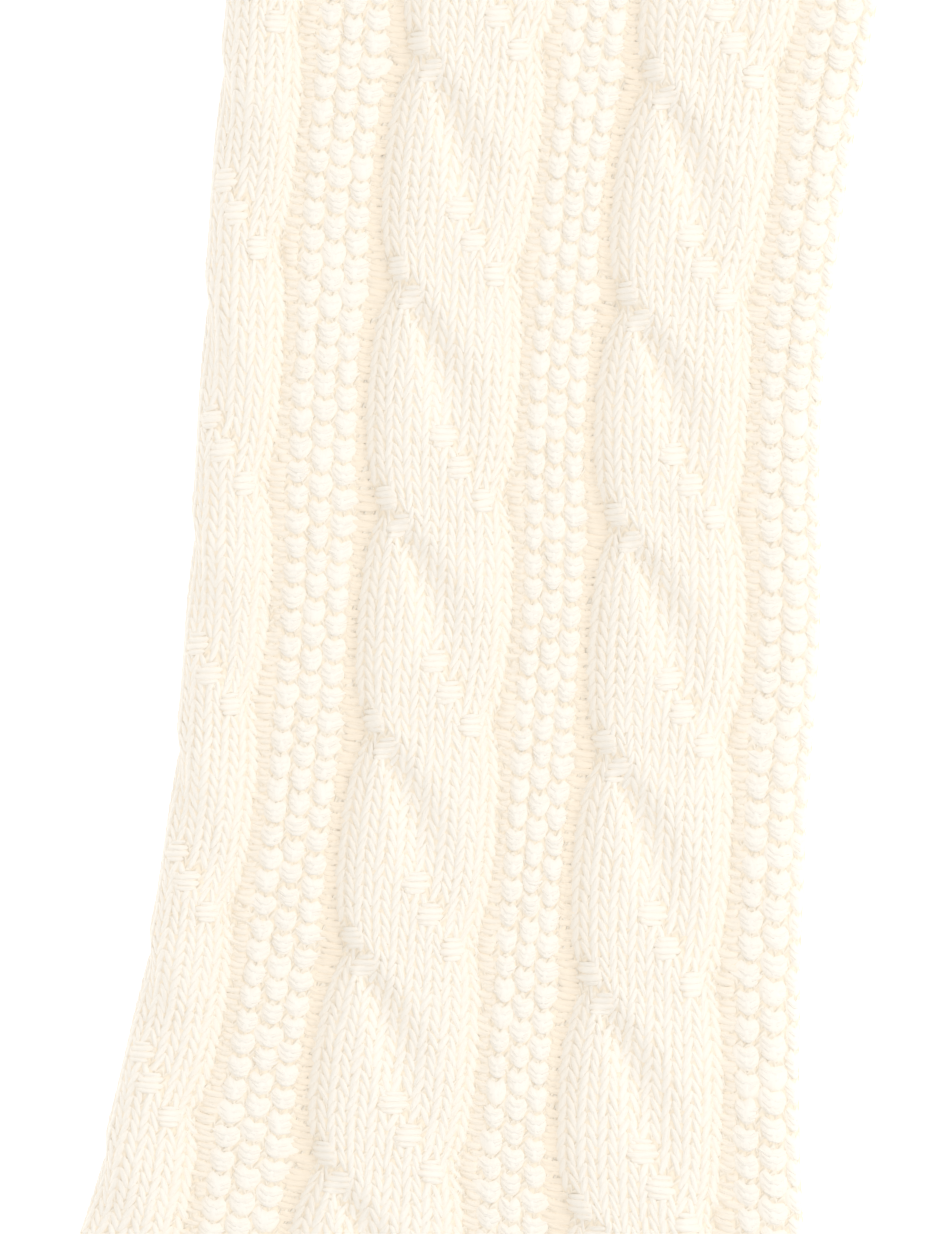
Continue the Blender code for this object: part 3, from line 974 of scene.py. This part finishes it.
@dataclass(frozen=True)
class ShellWool:
    """The cloth between and under the stitches: the same wool, coloured darker and more orange as painted
    shade, since it shows only in gaps and gutters, with rows of knitting in its bump.
    """

    name: str
    # painted shade: the colour in the knitted bump's hollows; the next one is the lighter colour on its tops
    colour: tuple[float, float, float, float] = (0.965, 0.842, 0.665, 1.0)
    light: tuple[float, float, float, float] = (0.97, 0.905, 0.8, 1.0)
    roughness: float = 0.95
    sheen: float = 0.2
    stitch_bump: float = 0.6

    def material(self) -> bpy.types.Material:
        """Make the finish.

        Returns:
            The material.
        """
        board = NodeBoard(self.name)
        board.matt(self.roughness, self.sheen)
        yarn = board.node("ShaderNodeUVMap", {"uv_map": "yarn"}, {})
        rows = board.node("ShaderNodeSeparateXYZ", {}, {"Vector": yarn}, "Y")
        wales = board.node("ShaderNodeSeparateXYZ", {}, {"Vector": yarn}, "X")
        across = board.sine(wales * (2 * math.pi / WALE))
        sway = board.node("ShaderNodeMath", {"operation": "ABSOLUTE"}, {0: across})
        down = board.sine((rows + sway * 0.9) * (2 * math.pi / COURSE))
        # painted shade: the colour follows the knitted bump, darker in its hollows and lighter on its tops
        stitch = 0.5 + 0.3 * down + 0.2 * sway
        board.paint(stitch, self.colour, self.light)
        board.bump(stitch, self.stitch_bump, 0.6)
        return board.material


@dataclass(frozen=True)
class Workshop:
    """What every stretch of the sock is made with."""

    tube: FlatTube
    body: BodyGround
    grains: dict[StitchKind, Grain]
    yarn: bpy.types.Material
    cloth: bpy.types.Material


def courses_between(first: float, last: float) -> np.ndarray:
    """Middles of the courses between two distances along the sock."""
    count = round((last - first) / COURSE)
    return first + (np.arange(count) + 0.5) * (last - first) / count


UNDER_FRONT = (0.53, 0.4, 0.27, 0.14, 0.06, 0.035, 0.015, 0.0)
UNDER_BACK = (2.0, 1.985, 1.965, 1.94, 1.86, 1.73, 1.6, 1.53)
FRONT_COLUMNS = (FRONT_FOLD, *np.arange(3.0, 21.01, 0.5), INSTEP_EDGE)
BACK_COLUMNS = tuple(np.arange(22.0, 39.01, 0.5))
ALL_COLUMNS = FRONT_COLUMNS + BACK_COLUMNS
UNDER_ALL = UNDER_FRONT + UNDER_BACK
SOLE_WALES = np.arange(22.0, 41.5, 1.0)
# a little painted shade on the plain stitches of the heel, sole and toe
PLAIN_SHADE = 0.02

# A purl mark takes the place of stitches this near to it, in wales and courses. Its strands, a bump's
# loops and a gutter's bars are given by how far down they lie, and by their size or their side.
MARK_WALES = 0.55
MARK_COURSES = 0.9
MARK_STRANDS = ((-1.3, 0.85), (-0.5, 1.2), (0.4, 1.3), (1.25, 0.95))
SEED_LOOPS = ((1.15, 0.8), (0.4, 1.0), (-0.4, 1.02))
GUTTER_BARS = ((-0.45, -0.06), (0.4, 0.06))


@dataclass
class Stretch:
    """One packed stretch of the sock, with the stitches that go on it."""

    shop: Workshop
    seed: int = 0
    pieces: list[bpy.types.Object] = field(default_factory=list)

    def sheet(self, name: str, number: int = 0, ground: Ground | None = None) -> StitchSheet:
        """Start a piece of stitches, on the body unless another ground is given."""
        return StitchSheet(name, ground or self.shop.body, self.shop.grains, self.seed + number)

    def keep(self, sheet: StitchSheet) -> None:
        """Make a piece of its stitches and keep it."""
        self.pieces.append(sheet.finish(self.shop.yarn))

    def cable(self, sheet: StitchSheet, first: int, wales: range, along: np.ndarray) -> None:
        """Knit a cable's wales with their crossings.

        Args:
            sheet: the piece that takes the stitches.
            first: the cable's first wale.
            wales: which of its wales.
            along: the courses' distances from the cuff's edge.
        """
        pattern = self.shop.body.pattern
        marks = pattern.right_marks + pattern.left_marks
        course = (along - CUFF_END) / COURSE
        half = REPEAT_COURSES / 2
        for wale in wales:
            centre = wale + 0.5
            keep = np.ones(len(along), bool)
            for mark_wale, mark_course in marks:
                if abs(centre - mark_wale) < MARK_WALES:
                    gap = (course - mark_course + half) % REPEAT_COURSES - half
                    keep &= np.abs(gap) > MARK_COURSES
            # painted shade: the wales towards a cable's edges, where it falls away to the gutters, are
            # coloured darker
            painted_shade = 0.35 * (1 - pattern.crown(np.array(centre))) ** 1.5
            sheet.knit(np.full(keep.sum(), first + centre), along[keep], warmth=float(painted_shade))
        for mark_wale, mark_course in marks:
            if not wales.start <= mark_wale <= wales.stop:
                continue
            repeats = np.arange(-1, course[-1] // REPEAT_COURSES + 1)
            middle = CUFF_END + (repeats * REPEAT_COURSES + mark_course) * COURSE
            for offset, size in MARK_STRANDS:
                place = middle + offset
                place = place[(place > along[0]) & (place < along[-1])]
                across = np.full(len(place), first + mark_wale)
                # the purl marks' strands get a little painted shade
                sheet.lay(StitchKind.STRAND, across, place, turn=0.16, size=size, lift=0.09, warmth=0.05)

    def panel(
        self, sheet: StitchSheet, first: int, along: np.ndarray, last_wale: float = REPEAT_WALES
    ) -> None:
        """Fill one panel with seed bumps, and the gutters on both its sides with purl bars.

        Args:
            sheet: the piece that takes the stitches.
            first: the first wale of the repeat.
            along: the courses' distances from the cuff's edge.
            last_wale: the wale of the repeat that the panel ends at.
        """
        pattern = self.shop.body.pattern
        for number, wale in enumerate(pattern.seed_wales):
            if wale > last_wale:
                continue
            place = along[number % 2 :: 2]
            across = np.full(len(place), first + wale)
            sheet.lay(StitchKind.SEED, across, place, wobble=1.6)
            for down, size in SEED_LOOPS:
                lift = 0.07 + 0.05 * (1 - abs(down))
                sheet.lay(StitchKind.LOOP, across, place + down, size=size, lift=lift, wobble=1.8)
        # painted shade on the gutters' purl bars: full in the gutter left of each cable, which the light
        # from the right leaves in shade, half in the gutter right of it
        for wale, warmth in zip(pattern.gutter_wales, (0.5, 1.0)):
            if wale > last_wale:
                continue
            for down, side in GUTTER_BARS:
                across = np.full(len(along), first + wale + side)
                sheet.lay(StitchKind.LADDER, across, along + down, turn=side * 2, warmth=warmth, wobble=3.0)

    def cloth(self, name: str, *patches: tuple, close_end: bool = False) -> bpy.types.Object:
        """Make the stretch's shell.

        Args:
            name: its name.
            patches: each grid's ground, columns, rows and underside, as Shell.add takes them.
            close_end: whether the end farthest along is capped.

        Returns:
            The shell.
        """
        shell = Shell(name, self.shop.tube)
        for patch in patches:
            shell.add(*patch)
        return shell.finish(self.shop.cloth, close_end)

    def cables(self, part: str, starts: tuple[int, ...], along: np.ndarray) -> None:
        """Knit cables, each a piece, and under the back fold the two wales that go on after the last.

        Args:
            part: the stretch's name, as the pieces' names begin.
            starts: the cables' first wales.
            along: the courses' distances from the cuff's edge.
        """
        for number, first in enumerate(starts):
            sheet = self.sheet(f"{part}_cable_{number + 1}", number)
            self.cable(sheet, first, range(0 if first else 1, CABLE_WALES), along)
            if first == CABLE_STARTS[-1]:
                self.cable(sheet, first + REPEAT_WALES, range(0, 2), along)
            self.keep(sheet)

    def declare(
        self, cloth: bpy.types.Object, node: str, flat: tuple[float, float], area: float | None = None
    ) -> None:
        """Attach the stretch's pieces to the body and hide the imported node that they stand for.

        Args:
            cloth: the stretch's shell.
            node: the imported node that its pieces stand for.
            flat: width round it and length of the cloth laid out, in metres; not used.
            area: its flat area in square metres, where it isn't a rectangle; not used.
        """
        for piece in (cloth, *self.pieces):
            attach(piece, BODY)
            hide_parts(node)


@dataclass
class Leg(Stretch):
    """The leg: three cables with seed-stitch panels between them."""

    seed: int = 11

    def build(self) -> None:
        """Build the leg, attach its pieces to the body and hide the imported leg."""
        rows = CUFF_END + np.arange(LEG_STEPS + 1) * COURSE
        cloth = self.cloth("leg_cloth", (self.shop.body, ALL_COLUMNS, rows, UNDER_ALL))
        along = courses_between(CUFF_END, LEG_END)
        self.cables("leg", CABLE_STARTS, along)
        for number, first in enumerate(CABLE_STARTS):
            sheet = self.sheet(f"leg_panel_{number + 1}", 4 + number)
            self.panel(sheet, first, along)
            self.keep(sheet)
        self.declare(cloth, "leg", (0.186, 0.299))


@dataclass
class Heel(Stretch):
    """The heel, knitted plain, its courses turned at the gore."""

    seed: int = 31

    def build(self) -> None:
        """Build the heel, attach its pieces to the body and hide the imported heel."""
        rows = np.linspace(LEG_END, HEEL_END, GORE_STEPS + 1)
        columns = (INSTEP_EDGE, *BACK_COLUMNS)
        cloth = self.cloth("heel_cloth", (self.shop.body, columns, rows, UNDER_BACK))
        sheet = self.sheet("heel_stitches")
        gore = (LEG_END + HEEL_END) / 2
        for wale in SOLE_WALES:
            for first, last in ((LEG_END, gore), (gore, HEEL_END)):
                place, reach = even_courses(self.shop.body, wale, first, last)
                sheet.knit(np.full(len(place), wale), place, reach=reach, warmth=PLAIN_SHADE)
        self.keep(sheet)
        self.declare(cloth, "heel", (0.086, 0.09))


def even_courses(ground: Ground, wale: float, first: float, last: float) -> tuple[np.ndarray, np.ndarray]:
    """Space courses evenly along one wale where the sock fans out.

    Args:
        ground: the ground.
        wale: the wale.
        first: where the stretch starts.
        last: where it ends.

    Returns:
        Distances along the sock, and how far a millimetre of yarn reaches at each.
    """
    fine = np.linspace(first, last, 61)
    points = ground.points(np.full(len(fine), wale), fine)
    way = np.concatenate([[0.0], np.cumsum(np.linalg.norm(np.diff(points, axis=0), axis=1))])
    count = max(2, round(way[-1] / COURSE))
    middles = (np.arange(count) + 0.5) * way[-1] / count
    place = np.interp(middles, way, fine)
    slope = np.interp(middles, way, np.gradient(fine, way))
    return place, slope * (way[-1] / count) / COURSE


@dataclass
class Foot(Stretch):
    """The foot: the pattern runs on down the instep, and the sole is plain."""

    seed: int = 51

    def build(self) -> None:
        """Build the foot, with the half of the ankle that it reaches up over."""
        upper = np.linspace(LEG_END, HEEL_END, GORE_STEPS + 1)
        lower = np.linspace(HEEL_END, FOOT_END, FOOT_STEPS + 1)
        over_ankle = (self.shop.body, FRONT_COLUMNS, upper, UNDER_FRONT)
        cloth = self.cloth("foot_cloth", over_ankle, (self.shop.body, ALL_COLUMNS, lower, UNDER_ALL))
        along = courses_between(LEG_END, FOOT_END)
        self.cables("foot", CABLE_STARTS[:2], along)
        sheet = self.sheet("foot_panels", 5)
        self.panel(sheet, CABLE_STARTS[0], along)
        self.panel(sheet, CABLE_STARTS[1], along, INSTEP_EDGE - CABLE_STARTS[1])
        self.keep(sheet)
        sheet = self.sheet("sole_stitches", 6)
        wales, places = np.meshgrid(SOLE_WALES, courses_between(HEEL_END, FOOT_END))
        sheet.knit(wales, places, warmth=PLAIN_SHADE)
        self.keep(sheet)
        self.declare(cloth, "foot", (0.176, 0.171), area=0.0235)


@dataclass
class Toe(Stretch):
    """The toe: plain wales that end one by one at a band beside each fold."""

    seed: int = 71

    def build(self) -> None:
        """Build the toe, attach its pieces to the body and hide the imported toe."""
        tube = self.shop.tube
        end_rows = tube.length - np.array([3, 2, 1, 0.4, 0])
        rows = np.concatenate([np.arange(FOOT_END, tube.length - 3.2, COURSE), end_rows])
        columns = np.linspace(FRONT_FOLD, BACK_FOLD, 53)
        cloth = self.cloth("toe_cloth", (self.shop.body, columns, rows, UNDER_ALL), close_end=True)
        sheet = self.sheet("toe_stitches", ground=ToeGround(tube))
        places = courses_between(FOOT_END, tube.length - 0.8)
        half = tube.over_top(places) / 2 / PLAIN_WALE
        for wale in np.arange(-19.5, 20.0, 1.0):
            keep = np.abs(wale) < half - 2.3
            sheet.knit(np.full(keep.sum(), wale), places[keep], warmth=PLAIN_SHADE)
        for inset in (-1.5, -0.5, 0.5, 1.5):
            sheet.knit(half - inset, places, warmth=PLAIN_SHADE)
            sheet.knit(-(half - inset), places, warmth=PLAIN_SHADE)
        self.keep(sheet)
        self.declare(cloth, "toe", (0.16, 0.035), area=0.0048)


@dataclass
class Cuff(Stretch):
    """The cuff: ribs of two plain wales with purl valleys between them."""

    seed: int = 91

    def build(self) -> None:
        """Build the cuff, attach its pieces to the body and hide the imported cuff."""
        ground = CuffGround(self.shop.tube)
        rows = np.concatenate([[0.0, 0.8, 1.8, 3.0], np.linspace(4.5, CUFF_END, 21)])
        columns = np.arange(0.0, CUFF_RIBS + 0.01, 0.125)
        cloth = self.cloth("cuff_cloth", (ground, columns, rows, UNDER_ALL))
        sheet = self.sheet("cuff_ribs", ground=ground)
        places = courses_between(1.2, CUFF_END)
        for rib in range(CUFF_RIBS):
            for offset in (0.405, 0.635):
                sheet.knit(np.full(len(places), rib + offset), places, unit=RIB_UNIT)
        for rib in range(-1, CUFF_RIBS + 1):
            across = np.full(len(places), rib + 1.02)
            # painted shade on the purl bars in the valleys between the ribs
            sheet.lay(StitchKind.LADDER, across, places, unit=RIB_UNIT, size=1.5, warmth=0.4)
        self.keep(sheet)
        self.declare(cloth, "cuff", (0.2, 0.04))


@dataclass(frozen=True)
class Studio:
    """A white table under soft light, with the stronger light from the upper right."""

    centre: tuple[float, float] = VIEW_CENTRE
    world: float = 0.9
    world_tint: tuple[float, float, float, float] = (1.0, 0.98, 0.95, 1.0)
    key_power: float = 5.6
    fill_power: float = 1.5
    floor_glow: float = 0.6

    def floor(self) -> bpy.types.Object:
        """Lay the white table top."""
        select_none()
        bpy.ops.mesh.primitive_plane_add(size=6.0, location=(self.centre[0], self.centre[1], 0.0))
        top = bpy.context.object
        top.name = "table_top"
        board = NodeBoard("white_table")
        board.set({"Base Color": (0.85, 0.85, 0.85, 1.0), "Roughness": 0.9})
        board.set({"Emission Color": (1.0, 1.0, 1.0, 1.0), "Emission Strength": self.floor_glow})
        top.data.materials.append(board.material)
        return top

    def lamp(self, name: str, place: tuple[float, float, float], size: float, power: float) -> None:
        """Hang a soft square lamp that looks at the ankle.

        Args:
            name: the lamp's name.
            place: where it hangs, from the ankle.
            size: the length of its side.
            power: its power in watts.
        """
        light = bpy.data.lights.new(name, "AREA")
        light.shape = "SQUARE"
        light.size = size
        light.energy = power
        lamp = bpy.data.objects.new(name, light)
        lamp.location = (self.centre[0] + place[0], self.centre[1] + place[1], place[2])
        direction = lamp.location.copy()
        direction.x -= self.centre[0]
        direction.y -= self.centre[1]
        lamp.rotation_euler = direction.to_track_quat("Z", "Y").to_euler()
        bpy.context.scene.collection.objects.link(lamp)

    def build(self) -> None:
        """Set up the table, the lamps and the white surroundings."""
        self.floor()
        self.lamp("key_lamp", (1.1, 0.4, 0.9), 1.2, self.key_power)
        self.lamp("top_lamp", (-0.1, 0.2, 1.6), 1.6, self.fill_power)
        world = bpy.data.worlds.new("white_room")
        world.use_nodes = True
        background = world.node_tree.nodes["Background"]
        background.inputs["Color"].default_value = self.world_tint
        background.inputs["Strength"].default_value = self.world
        bpy.context.scene.world = world
        bpy.context.scene.view_settings.view_transform = "Standard"


@dataclass(frozen=True)
class PhotoCamera:
    """A camera straight over the ankle, framed as the photograph is."""

    centre: tuple[float, float] = VIEW_CENTRE
    view_height: float = 0.1757
    subject_height: float = 0.005
    lens: float = 140.0
    sensor: float = 36.0

    def build(self) -> None:
        """Hang the camera and make it the scene's own."""
        data = bpy.data.cameras.new("photo_camera")
        data.lens = self.lens
        data.sensor_width = self.sensor
        data.clip_start = 0.01
        camera = bpy.data.objects.new("photo_camera", data)
        height = self.view_height * self.lens / self.sensor + self.subject_height
        camera.location = (*self.centre, height)
        bpy.context.scene.collection.objects.link(camera)
        bpy.context.scene.camera = camera


def main() -> None:
    """Set the view and the light, and dress the sock stretch by stretch."""
    logging.basicConfig(level=logging.INFO, format="%(name)s: %(message)s")
    PhotoCamera().build()
    Studio().build()
    tube = FlatTube()
    shop = Workshop(
        tube,
        BodyGround(tube, CablePattern()),
        {kind: model_grain(kind) for kind in StitchKind},
        WoolYarn("cream_yarn").material(),
        ShellWool("cream_cloth").material(),
    )
    for stretch in (Cuff, Leg, Heel, Foot, Toe):
        LOG.info("%s", stretch.__name__)
        stretch(shop).build()


if __name__ == "__main__":
    main()
